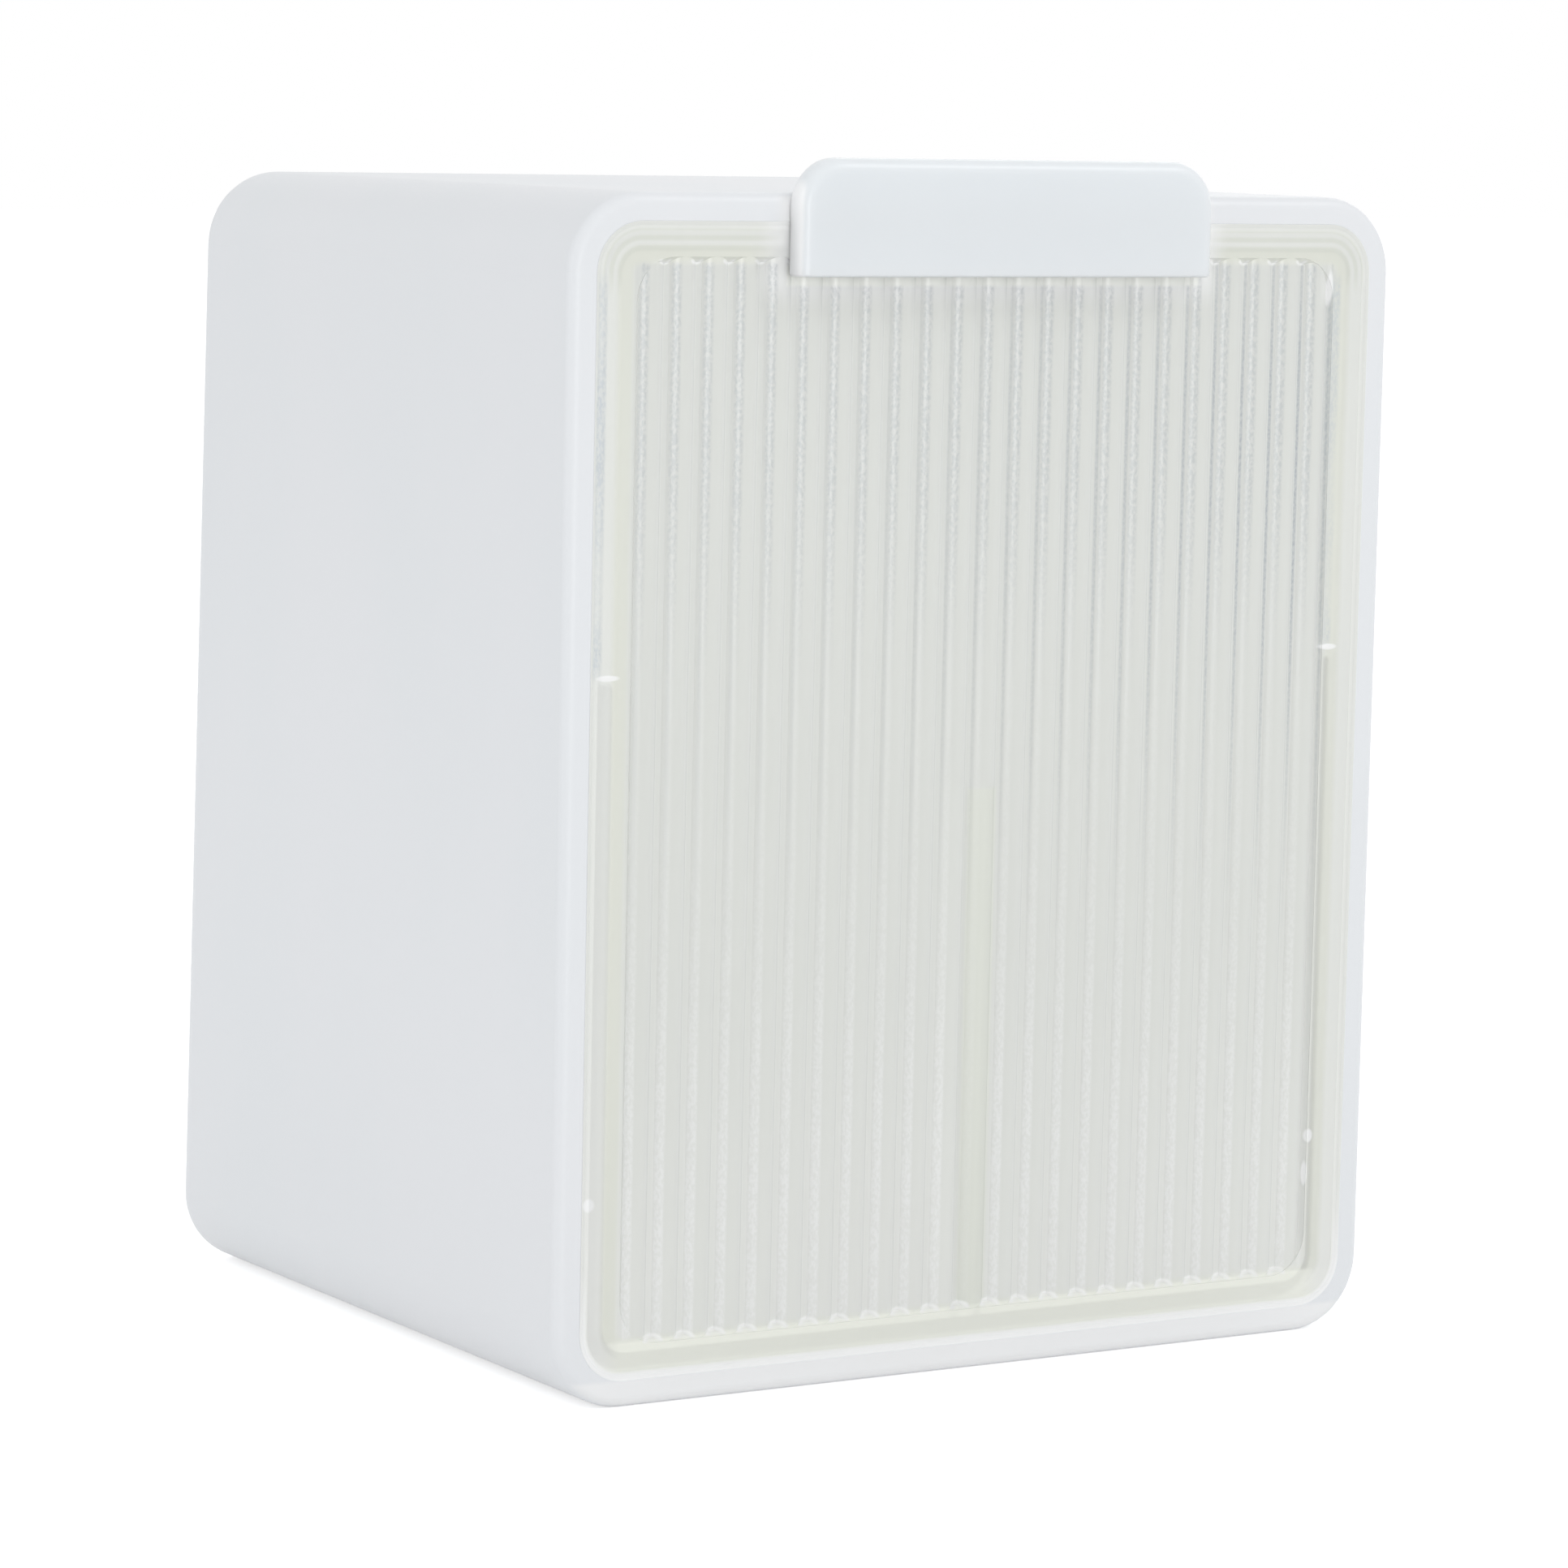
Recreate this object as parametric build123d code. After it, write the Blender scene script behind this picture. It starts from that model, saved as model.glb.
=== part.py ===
from build123d import *
import math
import os

# Cotton pad holder: a rounded white case, open at the front, with a clear reeded drawer.
# All sizes are in millimetres. +X is to the right seen from the front, +Z is up, and the
# drawer opens towards -Y. The origin is at the base, under the middle of the outline.

# ---- Case ----
case_width = 90.0
case_height = 110.0
case_depth = 77.5             # rim to back, measured half way up
case_wall = 2.7               # sides, top and base
case_back_wall = 2.4
case_corner_radius = 7.2      # the four long edges
back_lean = 2.0               # degrees, so that the case is deepest at its base
back_edge_radius = 2.9        # all round the back
cavity_end_radius = 1.2       # inside, all round the back wall
rim_outer_radius = 1.1
rim_inner_radius = 0.25

# ---- Running gaps between the drawer and the case ----
slide_gap = 0.3               # under the drawer's floor
side_gap = 1.3                # beside the drawer's sides
end_gap = 1.0                 # behind the drawer's back
rim_gap = 0.25                # all round the drawer's front, inside the rim
tab_gap = 0.25                # between the tab and the rim with the drawer shut

# ---- Drawer: floor, sides and back ----
drawer_wall = 1.6
drawer_floor = 1.8
drawer_side_height = 63.0     # from the underside to the top of the sides
drawer_back_radius = 1.8      # outside, where the sides and floor meet the back
drawer_edge_radius = 0.5      # along the top of the sides and back

# ---- Drawer front: a full-height panel with a stiffening flange behind its edge ----
front_recess = 0.1            # from the rim back to the panel's face
front_thickness = 2.0
front_edge_radius = 0.4
flange_wall = 1.5
flange_depth = 2.2

# ---- Reeds: round ribs that run up a shallow field with sloped edges on the panel's face ----
reed_count = 23
reed_height = 0.5
reed_valley = 0.6             # flat strip between two reeds
reed_root = 0.05              # how far a reed reaches into the floor and edge of its field
field_depth = 0.55
field_edge_slope = 0.5        # height and run of the sloped edge, which swallows the reeds' ends
field_side_margin = 3.75      # from the panel's edge to the field
field_end_margin = 2.8
field_corner_radius = 4.0

# ---- Divider: a plate between two channels, one on the panel and one on the back ----
divider_thickness = 1.6
divider_height = 50.2         # above the drawer's floor
divider_side_play = 0.1
divider_end_play = 0.2
divider_edge_radius = 0.4
channel_rib = 0.7             # thickness of each of a channel's two ribs
channel_depth = 1.6           # how far the ribs stand out of their wall

# ---- Tab: a handle plate clipped over the top edge of the panel ----
tab_width = 45.4
tab_thickness = 2.0
tab_drop = 7.5                # from the top of the case down to the tab's lower edge
tab_rise = 3.2                # above the top of the case
tab_corner_radius = 4.4
tab_edge_radius = 1.2         # round its front, except along its lower edge
tab_low_edge_radius = 0.3
pad_margin = 1.0              # from the tab's edge to the pad that seats it on the panel
clip_thickness = 0.9
clip_drop = 4.0               # height of the lip behind the panel
clip_side_reach = 2.9         # how far the lip reaches past the tab on each side
bridge_inset = 1.3            # from the tab's edge to the bridge over the panel
clip_play = 0.3               # beside the bridge and beside the lip

# ---- Stops: nibs inside the case meet lugs at the rear of the drawer ----
stop_clearance = 0.4          # from a nib or lug to the wall that it runs past
stop_height = 5.0
stop_length = 3.0
stop_ramp = 1.2               # sloped far end, so that the drawer can be pushed in
stop_base_offset = 15.0       # from the base to the underside of the stops
stop_setback = 0.6            # from the panel's flange to the nibs
stop_root = 0.5               # how far a stop reaches into its wall

# ---- Worked out from the sizes above ----
lean_slope = math.tan(math.radians(back_lean))
tab_stand = tab_gap + tab_thickness
base_depth = case_depth + case_height / 2 * lean_slope
rim_y = -(base_depth + tab_stand) / 2 + tab_stand

cavity_half_width = case_width / 2 - case_wall
cavity_top = case_height - case_wall
cavity_radius = max(case_corner_radius - case_wall, rim_inner_radius)

front_y = rim_y + front_recess
front_back_y = front_y + front_thickness
front_half_width = cavity_half_width - rim_gap
front_low = case_wall + rim_gap
front_high = cavity_top - rim_gap
front_radius = cavity_radius - rim_gap
flange_back_y = front_back_y + flange_depth

drawer_half_width = cavity_half_width - side_gap
drawer_low = case_wall + slide_gap
drawer_top = drawer_low + drawer_side_height
drawer_floor_top = drawer_low + drawer_floor
drawer_corner_radius = cavity_radius - slide_gap
drawer_inner_radius = drawer_corner_radius - drawer_wall
drawer_back_inset = case_back_wall + end_gap
drawer_inner_inset = drawer_back_inset + drawer_wall

field_half_width = front_half_width - field_side_margin
field_low = front_low + field_end_margin
field_high = front_high - field_end_margin
field_floor_y = front_y + field_depth
reed_pitch = 2 * field_half_width / reed_count
reed_width = reed_pitch - reed_valley
reed_radius = ((reed_width / 2) ** 2 + reed_height**2) / (2 * reed_height)

divider_top = drawer_floor_top + divider_height
channel_rib_x = divider_thickness / 2 + divider_side_play + channel_rib / 2

tab_low = case_height - tab_drop
tab_high = case_height + tab_rise
tab_back_y = rim_y - tab_gap
tab_front_y = tab_back_y - tab_thickness
bridge_half_width = tab_width / 2 - bridge_inset
lip_half_width = tab_width / 2 + clip_side_reach
lip_back_y = front_back_y + clip_thickness

stop_reach = side_gap - stop_clearance
nib_stop_y = flange_back_y + stop_setback + stop_length


def back_at(height, inset):
    """Return where the leaning back plane, moved forward by inset, stands at a height."""
    return rim_y + case_depth + (case_height / 2 - height) * lean_slope - inset


def closed_section(half_width, low, high, radius):
    """Return a rounded rectangle across the holder, drawn in X and Z."""
    outline = RectangleRounded(2 * half_width, high - low, radius)
    return Pos(0, (low + high) / 2) * outline


def half_rounded_section(half_width, low, high, radius, round_top):
    """Return a rectangle in X and Z with its two upper or two lower corners rounded."""
    outline = Pos(0, (low + high) / 2) * Rectangle(2 * half_width, high - low)
    by_height = outline.vertices().sort_by(Axis.Y)
    corners = by_height[2:] if round_top else by_height[:2]
    return fillet(corners, radius)


def block_section(x_centre, half_width, low, high):
    """Return a plain rectangle in X and Z."""
    return Pos(x_centre, (low + high) / 2) * Rectangle(2 * half_width, high - low)


def run_back(section, y_from, y_to):
    """Extrude a section, drawn in X and Z, from one Y to another behind it."""
    return extrude(Plane.XZ.offset(-y_from) * section, amount=y_to - y_from, dir=(0, 1, 0))


def run_to_back(section, y_from, inset):
    """Extrude a section from y_from to the leaning back plane moved forward by inset."""
    side_view = Polygon(
        (y_from, 0),
        (back_at(0, inset), 0),
        (back_at(case_height, inset), case_height),
        (y_from, case_height),
        align=None,
    )
    wedge = extrude(Plane.YZ * side_view, amount=case_width, both=True)
    return run_back(section, y_from, back_at(0, inset)) & wedge


def front_face(shape):
    """Return the face of a shape that lies furthest to the front."""
    return shape.faces().sort_by(Axis.Y)[0]


def back_face(shape):
    """Return the face of a shape that lies furthest to the back."""
    return shape.faces().sort_by(Axis.Y)[-1]


def both_sides(shape):
    """Return a shape and its mirror image on the other side of the middle."""
    return [shape, mirror(shape, about=Plane.YZ)]


def stop_wedge(x_root, x_tip, y_stop, y_far):
    """Return a small wedge, square where it stops its mate and ramped at its far end."""
    y_ramp = y_far - math.copysign(stop_ramp, y_far - y_stop)
    plan = Polygon((x_root, y_stop), (x_tip, y_stop), (x_tip, y_ramp), (x_root, y_far), align=None)
    return extrude(Plane.XY.offset(stop_base_offset) * plan, amount=stop_height, dir=(0, 0, 1))


def build_case():
    """Build the case: four walls and a leaning back round a cavity that is open in front."""
    outline = closed_section(case_width / 2, 0, case_height, case_corner_radius)
    outer = run_to_back(outline, rim_y, 0)
    outer = fillet(back_face(outer).edges(), back_edge_radius)
    outer = fillet(front_face(outer).edges(), rim_outer_radius)

    opening = closed_section(cavity_half_width, case_wall, cavity_top, cavity_radius)
    cavity = run_to_back(opening, rim_y, case_back_wall)
    cavity = fillet(back_face(cavity).edges(), cavity_end_radius)

    case = outer - cavity
    rim_edges = [edge for wire in front_face(case).inner_wires() for edge in wire.edges()]
    case = fillet(rim_edges, rim_inner_radius)

    nib = stop_wedge(
        cavity_half_width + stop_root,
        cavity_half_width - stop_reach,
        nib_stop_y,
        nib_stop_y - stop_length,
    )
    return case + both_sides(nib)


def build_tray():
    """Build the drawer's floor, sides and back, with the channels and the rear lugs."""
    outline = half_rounded_section(
        drawer_half_width, drawer_low, drawer_top, drawer_corner_radius, round_top=False
    )
    outer = run_to_back(outline, front_back_y, drawer_back_inset)
    back_edges = back_face(outer).edges().sort_by(Axis.Z)[:-1]
    outer = fillet(back_edges, drawer_back_radius)

    hollow_outline = half_rounded_section(
        drawer_half_width - drawer_wall,
        drawer_floor_top,
        case_height,
        drawer_inner_radius,
        round_top=False,
    )
    tray = outer - run_to_back(hollow_outline, front_back_y, drawer_inner_inset)
    top_edges = tray.faces().sort_by(Axis.Z)[-1].edges()
    tray = fillet([edge for edge in top_edges if edge.center().Y > flange_back_y], drawer_edge_radius)

    lug_stop_y = back_at(stop_base_offset, drawer_back_inset) - drawer_back_radius - stop_length
    lug = stop_wedge(
        drawer_half_width - stop_root,
        drawer_half_width + stop_reach,
        lug_stop_y,
        lug_stop_y + stop_length,
    )
    return tray + both_sides(lug) + build_channels(), lug_stop_y


def build_channels():
    """Build the ribs that hold the divider, on the panel and on the drawer's back."""
    rib_section = block_section(channel_rib_x, channel_rib / 2, drawer_low + drawer_floor / 2, divider_top)
    front_rib = run_back(rib_section, front_back_y, front_back_y + channel_depth)
    wall_middle = drawer_back_inset + drawer_wall / 2
    back_rib = run_to_back(rib_section, front_back_y, wall_middle)
    back_rib -= run_to_back(rib_section, front_back_y, drawer_inner_inset + channel_depth)
    return both_sides(front_rib) + both_sides(back_rib)


def field_section(grown):
    """Return the outline of the reeded field, drawn in X and Z and grown on every side."""
    return closed_section(
        field_half_width + grown, field_low - grown, field_high + grown, field_corner_radius + grown
    )


def build_field():
    """Build the shallow pocket that holds the reeds, with its floor's edge sloped."""
    pocket = run_back(field_section(0), front_y, field_floor_y)
    return chamfer(back_face(pocket).edges(), field_edge_slope)


def build_reeds():
    """Build the row of round reeds, cut to the outline of their field."""
    axis_y = field_floor_y - reed_height + reed_radius
    first_x = -field_half_width + reed_pitch / 2
    middle = (field_low + field_high) / 2
    rod = Cylinder(reed_radius, field_high - field_low + reed_pitch)
    room = run_back(field_section(reed_root), front_y, field_floor_y + reed_root)
    return [
        Pos(first_x + index * reed_pitch, axis_y, middle) * rod & room for index in range(reed_count)
    ]


def build_panel():
    """Build the drawer's front: the panel, its reeded field and the flange behind its edge."""
    outline = closed_section(front_half_width, front_low, front_high, front_radius)
    panel = fillet(front_face(run_back(outline, front_y, front_back_y)).edges(), front_edge_radius)
    panel = panel - build_field() + build_reeds()

    window = closed_section(
        front_half_width - flange_wall,
        front_low + flange_wall,
        front_high - flange_wall,
        max(front_radius - flange_wall, front_edge_radius),
    )
    panel += run_back(outline - window, front_back_y, flange_back_y)
    return panel - build_clip_slots()


def build_clip_slots():
    """Build the space for the clip: a slot through the panel's edge, a gap in its flange."""
    slot = block_section(0, bridge_half_width + clip_play, front_high - clip_thickness, cavity_top)
    gap = block_section(0, lip_half_width + clip_play, front_high - flange_wall, cavity_top)
    return run_back(slot, rim_y, flange_back_y) + run_back(gap, front_back_y, flange_back_y)


def build_drawer():
    """Join the panel and the tray, which are one clear moulding, and give its travel."""
    tray, lug_stop_y = build_tray()
    return build_panel() + tray, lug_stop_y - nib_stop_y


def build_divider():
    """Build the plate that parts the drawer into two compartments."""
    outline = block_section(0, divider_thickness / 2, drawer_floor_top, divider_top)
    plate = run_to_back(
        outline, front_back_y + divider_end_play, drawer_inner_inset + divider_end_play
    )
    top_edges = plate.faces().sort_by(Axis.Z)[-1].edges()
    return fillet(top_edges, divider_edge_radius)


def build_tab():
    """Build the handle plate, the pad that seats it and the clip that holds it."""
    outline = half_rounded_section(tab_width / 2, tab_low, tab_high, tab_corner_radius, round_top=True)
    plate = run_back(outline, tab_front_y, tab_back_y)
    plate = fillet(front_face(plate).edges().sort_by(Axis.Z)[1:], tab_edge_radius)
    plate = fillet(front_face(plate).edges().sort_by(Axis.Z)[0], tab_low_edge_radius)
    pad =block_section(0, tab_width / 2 - pad_margin, tab_low + pad_margin, front_high)
    bridge = block_section(0, bridge_half_width, front_high - clip_thickness, front_high)
    lip = block_section(0, lip_half_width, front_high - clip_drop, front_high)
    return (
        plate
        + run_back(pad, tab_back_y, front_y)
        + run_back(bridge, front_y, lip_back_y)
        + run_back(lip, front_back_y, lip_back_y)
    )


drawer, drawer_travel = build_drawer()
parts = {
    "outer_shell": build_case(),
    "drawer": drawer,
    "divider": build_divider(),
    "handle_tab": build_tab(),
}

os.makedirs("parts", exist_ok=True)
for name, shape in parts.items():
    export_step(shape, f"parts/{name}.step")
print(f"drawer travel {drawer_travel:.2f} mm, rim at y {rim_y:.2f} mm")
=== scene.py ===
"""Upright cotton pad holder with a clear reeded drawer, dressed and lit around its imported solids.

Everything is in metres in the frame of the solids: X goes to the right, the drawer opens towards
-Y, and Z goes up.
"""

import logging
import math
from dataclasses import dataclass
from enum import Enum
from typing import Any, ClassVar

import bmesh
import bpy
from mathutils import Matrix, Vector


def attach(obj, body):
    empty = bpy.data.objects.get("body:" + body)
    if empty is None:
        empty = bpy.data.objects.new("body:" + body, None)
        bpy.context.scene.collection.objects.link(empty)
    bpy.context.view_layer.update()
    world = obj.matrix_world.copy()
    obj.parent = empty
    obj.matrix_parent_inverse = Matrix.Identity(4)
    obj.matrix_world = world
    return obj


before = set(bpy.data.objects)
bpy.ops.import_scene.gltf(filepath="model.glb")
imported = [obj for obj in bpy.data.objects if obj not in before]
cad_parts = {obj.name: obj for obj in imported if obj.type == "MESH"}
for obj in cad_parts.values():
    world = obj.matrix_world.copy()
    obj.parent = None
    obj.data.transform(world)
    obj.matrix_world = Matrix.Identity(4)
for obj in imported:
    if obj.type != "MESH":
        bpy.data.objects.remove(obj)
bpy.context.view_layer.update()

MM = 0.001
PHOTO_PIXELS = 1932

# The curve between a colour's value on a screen and its linear light.
SCREEN_TOP = 255
SCREEN_KNEE = 0.04045
SCREEN_SLOPE = 12.92
SCREEN_OFFSET = 0.055
SCREEN_POWER = 2.4

# Places that more than one finish needs.
RIM_Y = -38.59 * MM
TAB_HALF_WIDTH = 22.7 * MM
TAB_LOW = 102.5 * MM
TAB_FACE_Y = -40.84 * MM
DRAWER_SIDE_TOP = 66 * MM

PLASTIC_INDEX = 1.49
COARSE_DETAIL = 1.0
FINE_DETAIL = 3.0

log = logging.getLogger("pad_holder")

Colour = tuple[float, float, float]
Point = tuple[float, float, float]
Socket = bpy.types.NodeSocket


class Node(Enum):
    """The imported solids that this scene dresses."""

    SHELL = "outer_shell"
    DRAWER = "drawer"
    DIVIDER = "divider"
    TAB = "handle_tab"


class Body(Enum):
    """The moving bodies of the holder."""

    CASE = "case"
    DRAWER_UNIT = "drawer_unit"


def linear(red: int, green: int, blue: int) -> Colour:
    """Turn a colour as seen on a screen into the linear values that shaders use.

    Args:
        red: Red from 0 to 255.
        green: Green from 0 to 255.
        blue: Blue from 0 to 255.

    Returns:
        The same colour in linear light.
    """

    def one(value: int) -> float:
        """Turn one channel into linear light.

        Args:
            value: The channel from 0 to 255.

        Returns:
            The channel in linear light, 0 to 1.
        """
        share = value / SCREEN_TOP
        if share <= SCREEN_KNEE:
            return share / SCREEN_SLOPE
        return ((share + SCREEN_OFFSET) / (1 + SCREEN_OFFSET)) ** SCREEN_POWER

    return one(red), one(green), one(blue)


@dataclass(frozen=True)
class Fade:
    """A soft change from start to end while another number goes from low to high."""

    low: float
    high: float
    start: float = 0.0
    end: float = 1.0


@dataclass(frozen=True)
class Span:
    """A stretch between two limits, each of which fades over a short way."""

    low: float
    high: float
    soft: float


@dataclass(frozen=True)
class Patch:
    """An upright rectangle on the drawer's front."""

    across: Span
    up: Span


@dataclass(frozen=True)
class Spot:
    """A round painted highlight on the drawer's front: its middle, and how far it reaches across
    and up.
    """

    x: float
    z: float
    reach_x: float
    reach_z: float


@dataclass(frozen=True)
class ValleyEnd:
    """The painted highlights on the sloped ends of the valleys along one end of the reeded field.

    Each is half a disc. Its straight side lies at the level, beside the valley by the offset, and
    it bulges up or down by its radius.
    """

    offset: float
    level: float
    radius: float
    bulges_up: bool


@dataclass(frozen=True)
class FrontPlate:
    """Where the drawer front's edge, its sunk field and its reeds lie."""

    half_width: float = 42.05 * MM
    low: float = 2.95 * MM
    high: float = 107.05 * MM
    radius: float = 4.25 * MM
    field_half_width: float = 38.3 * MM
    field_low: float = 5.75 * MM
    field_high: float = 104.25 * MM
    reeds: int = 23

    @property
    def pitch(self) -> float:
        """The distance from reed to reed."""
        return 2 * self.field_half_width / self.reeds


PLATE = FrontPlate()


class Board:
    """A material's node board, with the point that it colours and short ways to join nodes."""

    def __init__(self, name: str) -> None:
        """Make an empty material with an output node and the point, whole and split.

        Args:
            name: The material's name.
        """
        self.material = bpy.data.materials.new(name)
        self.material.use_nodes = True
        self.tree = self.material.node_tree
        self.tree.nodes.clear()
        self.output = self.tree.nodes.new("ShaderNodeOutputMaterial")
        self.point = self.node("TexCoord").outputs["Object"]
        split = self.node("SeparateXYZ")
        self.join(self.point, split.inputs[0])
        self.x, self.y, self.z = split.outputs

    def node(self, kind: str, **settings: Any) -> bpy.types.Node:
        """Add a node.

        Args:
            kind: The node's type, without its ShaderNode prefix.
            **settings: Attributes to set on it.

        Returns:
            The new node.
        """
        made = self.tree.nodes.new("ShaderNode" + kind)
        for key, value in settings.items():
            setattr(made, key, value)
        return made

    def join(self, source: Socket, target: Socket) -> None:
        """Join two sockets."""
        self.tree.links.new(source, target)

    def feed(self, target: Socket, value: Any) -> None:
        """Give a socket a plain value, or join it to the socket that the value is.

        Args:
            target: The socket that takes the value.
            value: A plain value or another node's socket.
        """
        if isinstance(value, Socket):
            self.join(value, target)
        else:
            target.default_value = value

    def math(self, operation: str, first: Any, second: Any = 0.0, clamp: bool = False) -> Socket:
        """Work out a number from one or two others.

        Args:
            operation: The name of the operation.
            first: The first number or socket.
            second: The second number or socket.
            clamp: Whether the result is held between 0 and 1.

        Returns:
            The socket with the result.
        """
        made = self.node("Math", operation=operation, use_clamp=clamp)
        self.feed(made.inputs[0], first)
        self.feed(made.inputs[1], second)
        return made.outputs[0]

    def times(self, first: Any, *others: Any) -> Socket:
        """Multiply numbers.

        Args:
            first: The first number or socket.
            *others: The others.

        Returns:
            The socket with their product.
        """
        for other in others:
            first = self.math("MULTIPLY", first, other)
        return first

    def most(self, first: Any, *others: Any) -> Socket:
        """Take the largest of some numbers.

        Args:
            first: The first number or socket.
            *others: The others.

        Returns:
            The socket with the largest.
        """
        for other in others:
            first = self.math("MAXIMUM", first, other)
        return first

    def less(self, first: Any, second: Any) -> Socket:
        """Take the second number from the first."""
        return self.math("SUBTRACT", first, second)

    def away_from(self, value: Any, middle: float = 0.0) -> Socket:
        """Measure how far a number lies from a middle, on either side."""
        return self.math("ABSOLUTE", self.less(value, middle) if middle else value)

    def length(self, across: Any, up: Any) -> Socket:
        """Work out the length of a step across and up."""
        return self.math("SQRT", self.math("ADD", self.times(across, across), self.times(up, up)))

    def fade(self, value: Any, fade: Fade) -> Socket:
        """Map a number from one range to another with soft ends.

        Args:
            value: The number's socket.
            fade: The two ranges.

        Returns:
            The socket with the mapped number.
        """
        made = self.node("MapRange", interpolation_type="SMOOTHSTEP")
        numbers = (value, fade.low, fade.high, fade.start, fade.end)
        for socket, number in zip(made.inputs, numbers):
            self.feed(socket, number)
        return made.outputs[0]

    def within(self, value: Any, span: Span) -> Socket:
        """Mark where a number lies between two limits.

        Args:
            value: The number's socket.
            span: The limits, and how far each fades.

        Returns:
            The socket with 1 inside and 0 outside.
        """
        half = span.soft / 2
        rise = self.fade(value, Fade(span.low - half, span.low + half))
        fall = self.fade(value, Fade(span.high - half, span.high + half, 1.0, 0.0))
        return self.times(rise, fall)

    def noise(self, cell: float, detail: float, stretch: Point = (1, 1, 1)) -> Socket:
        """Add cloudy noise.

        Args:
            cell: The size of a cloud in metres.
            detail: How many finer layers it has.
            stretch: How much finer it is along each axis.

        Returns:
            The socket with the noise, about 0 to 1.
        """
        scaled = self.node("Mapping")
        self.join(self.point, scaled.inputs["Vector"])
        scaled.inputs["Scale"].default_value = stretch
        made = self.node("TexNoise")
        self.join(scaled.outputs[0], made.inputs["Vector"])
        made.inputs["Scale"].default_value = 1 / cell
        made.inputs["Detail"].default_value = detail
        return made.outputs["Fac"]

    def blend(self, share: Any, first: Any, second: Any) -> Socket:
        """Mix two colours.

        Args:
            share: How much of the second colour shows.
            first: The first colour or socket.
            second: The second colour or socket.

        Returns:
            The socket with the mixed colour.
        """
        made = self.node("Mix", data_type="RGBA")
        self.feed(made.inputs[0], share)
        for socket, value in ((made.inputs[6], first), (made.inputs[7], second)):
            self.feed(socket, value if isinstance(value, Socket) else (*value, 1.0))
        return made.outputs[2]

    def relief(self, height: Socket, depth: float, strength: float) -> Socket:
        """Turn a height into a bumped normal.

        Args:
            height: The height's socket, 0 to 1.
            depth: The relief's depth in metres.
            strength: How strongly it shows.

        Returns:
            The normal's socket.
        """
        made = self.node("Bump")
        self.join(height, made.inputs["Height"])
        made.inputs["Distance"].default_value = depth
        made.inputs["Strength"].default_value = strength
        return made.outputs[0]


@dataclass(frozen=True)
class Moulding:
    """A moulded plastic with faint flow clouds of a second tone."""

    name: str
    colour: Colour
    cloud_colour: Colour
    cloud_cell: ClassVar[float] = 32 * MM
    cloud_flow: ClassVar[Point] = (1, 1, 0.45)
    cloud_fade: ClassVar[Fade] = Fade(0.35, 0.65)

    def tint(self, board: Board) -> Socket:
        """Work out the plastic's colour.

        Args:
            board: The node board.

        Returns:
            The colour's socket.
        """
        noise = board.noise(self.cloud_cell, FINE_DETAIL, self.cloud_flow)
        return board.blend(board.fade(noise, self.cloud_fade), self.colour, self.cloud_colour)


@dataclass(frozen=True)
class WhiteMoulding(Moulding):
    """A white moulded plastic: soft gloss and a very fine grain."""

    gloss: float
    rougher: float
    grain_cell: float = 0.35 * MM
    grain_depth: float = 0.006 * MM
    grain_strength: float = 0.5
    grain_low: float = 0.3
    grain_high: float = 0.7
    scatter_share: float = 0.0
    scatter_depth: float = 1.5 * MM

    def build(self) -> bpy.types.Material:
        """Build the material.

        Returns:
            The finished material.
        """
        board = Board(self.name)
        shader = board.node("BsdfPrincipled")
        board.join(self.tint(board), shader.inputs["Base Color"])
        grain = board.noise(self.grain_cell, FINE_DETAIL)
        rough = board.fade(grain, Fade(self.grain_low, self.grain_high, self.gloss, self.rougher))
        board.join(rough, shader.inputs["Roughness"])
        relief = board.relief(grain, self.grain_depth, self.grain_strength)
        board.join(relief, shader.inputs["Normal"])
        shader.inputs["IOR"].default_value = PLASTIC_INDEX
        shader.inputs["Subsurface Weight"].default_value = self.scatter_share
        shader.inputs["Subsurface Radius"].default_value = (1, 1, 1)
        shader.inputs["Subsurface Scale"].default_value = self.scatter_depth
        board.join(shader.outputs[0], board.output.inputs["Surface"])
        return board.material


@dataclass(frozen=True)
class CaseMoulding(WhiteMoulding):
    """The case's plastic, with painted light where its rim meets the tab and a painted highlight
    along the rim's foot.
    """

    beside_tab: Fade = Fade(TAB_HALF_WIDTH, TAB_HALF_WIDTH + 2 * MM, 1.0, 0.0)
    rim_top: Fade = Fade(106.8 * MM, 107.3 * MM)
    rim_foot: Fade = Fade(2.3 * MM, 2.9 * MM, 1.0, 0.0)
    rim_face: Fade = Fade(RIM_Y + 0.1 * MM, RIM_Y + 0.7 * MM, 1.0, 0.0)
    case_painted_light_colour: Colour = linear(243, 243, 243)

    def tint(self, board: Board) -> Socket:
        """Work out the plastic's colour.

        Args:
            board: The node board.

        Returns:
            The colour's socket.
        """
        # Painted light on the rim where it meets the tab, against the tab's shade, and a painted
        # highlight along the rim's foot.
        beside = board.fade(board.away_from(board.x), self.beside_tab)
        above = board.fade(board.z, self.rim_top)
        foot = board.fade(board.z, self.rim_foot)
        painted_light_spots = board.most(board.times(beside, above), foot)
        share = board.times(painted_light_spots, board.fade(board.y, self.rim_face))
        return board.blend(share, super().tint(board), self.case_painted_light_colour)


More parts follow.
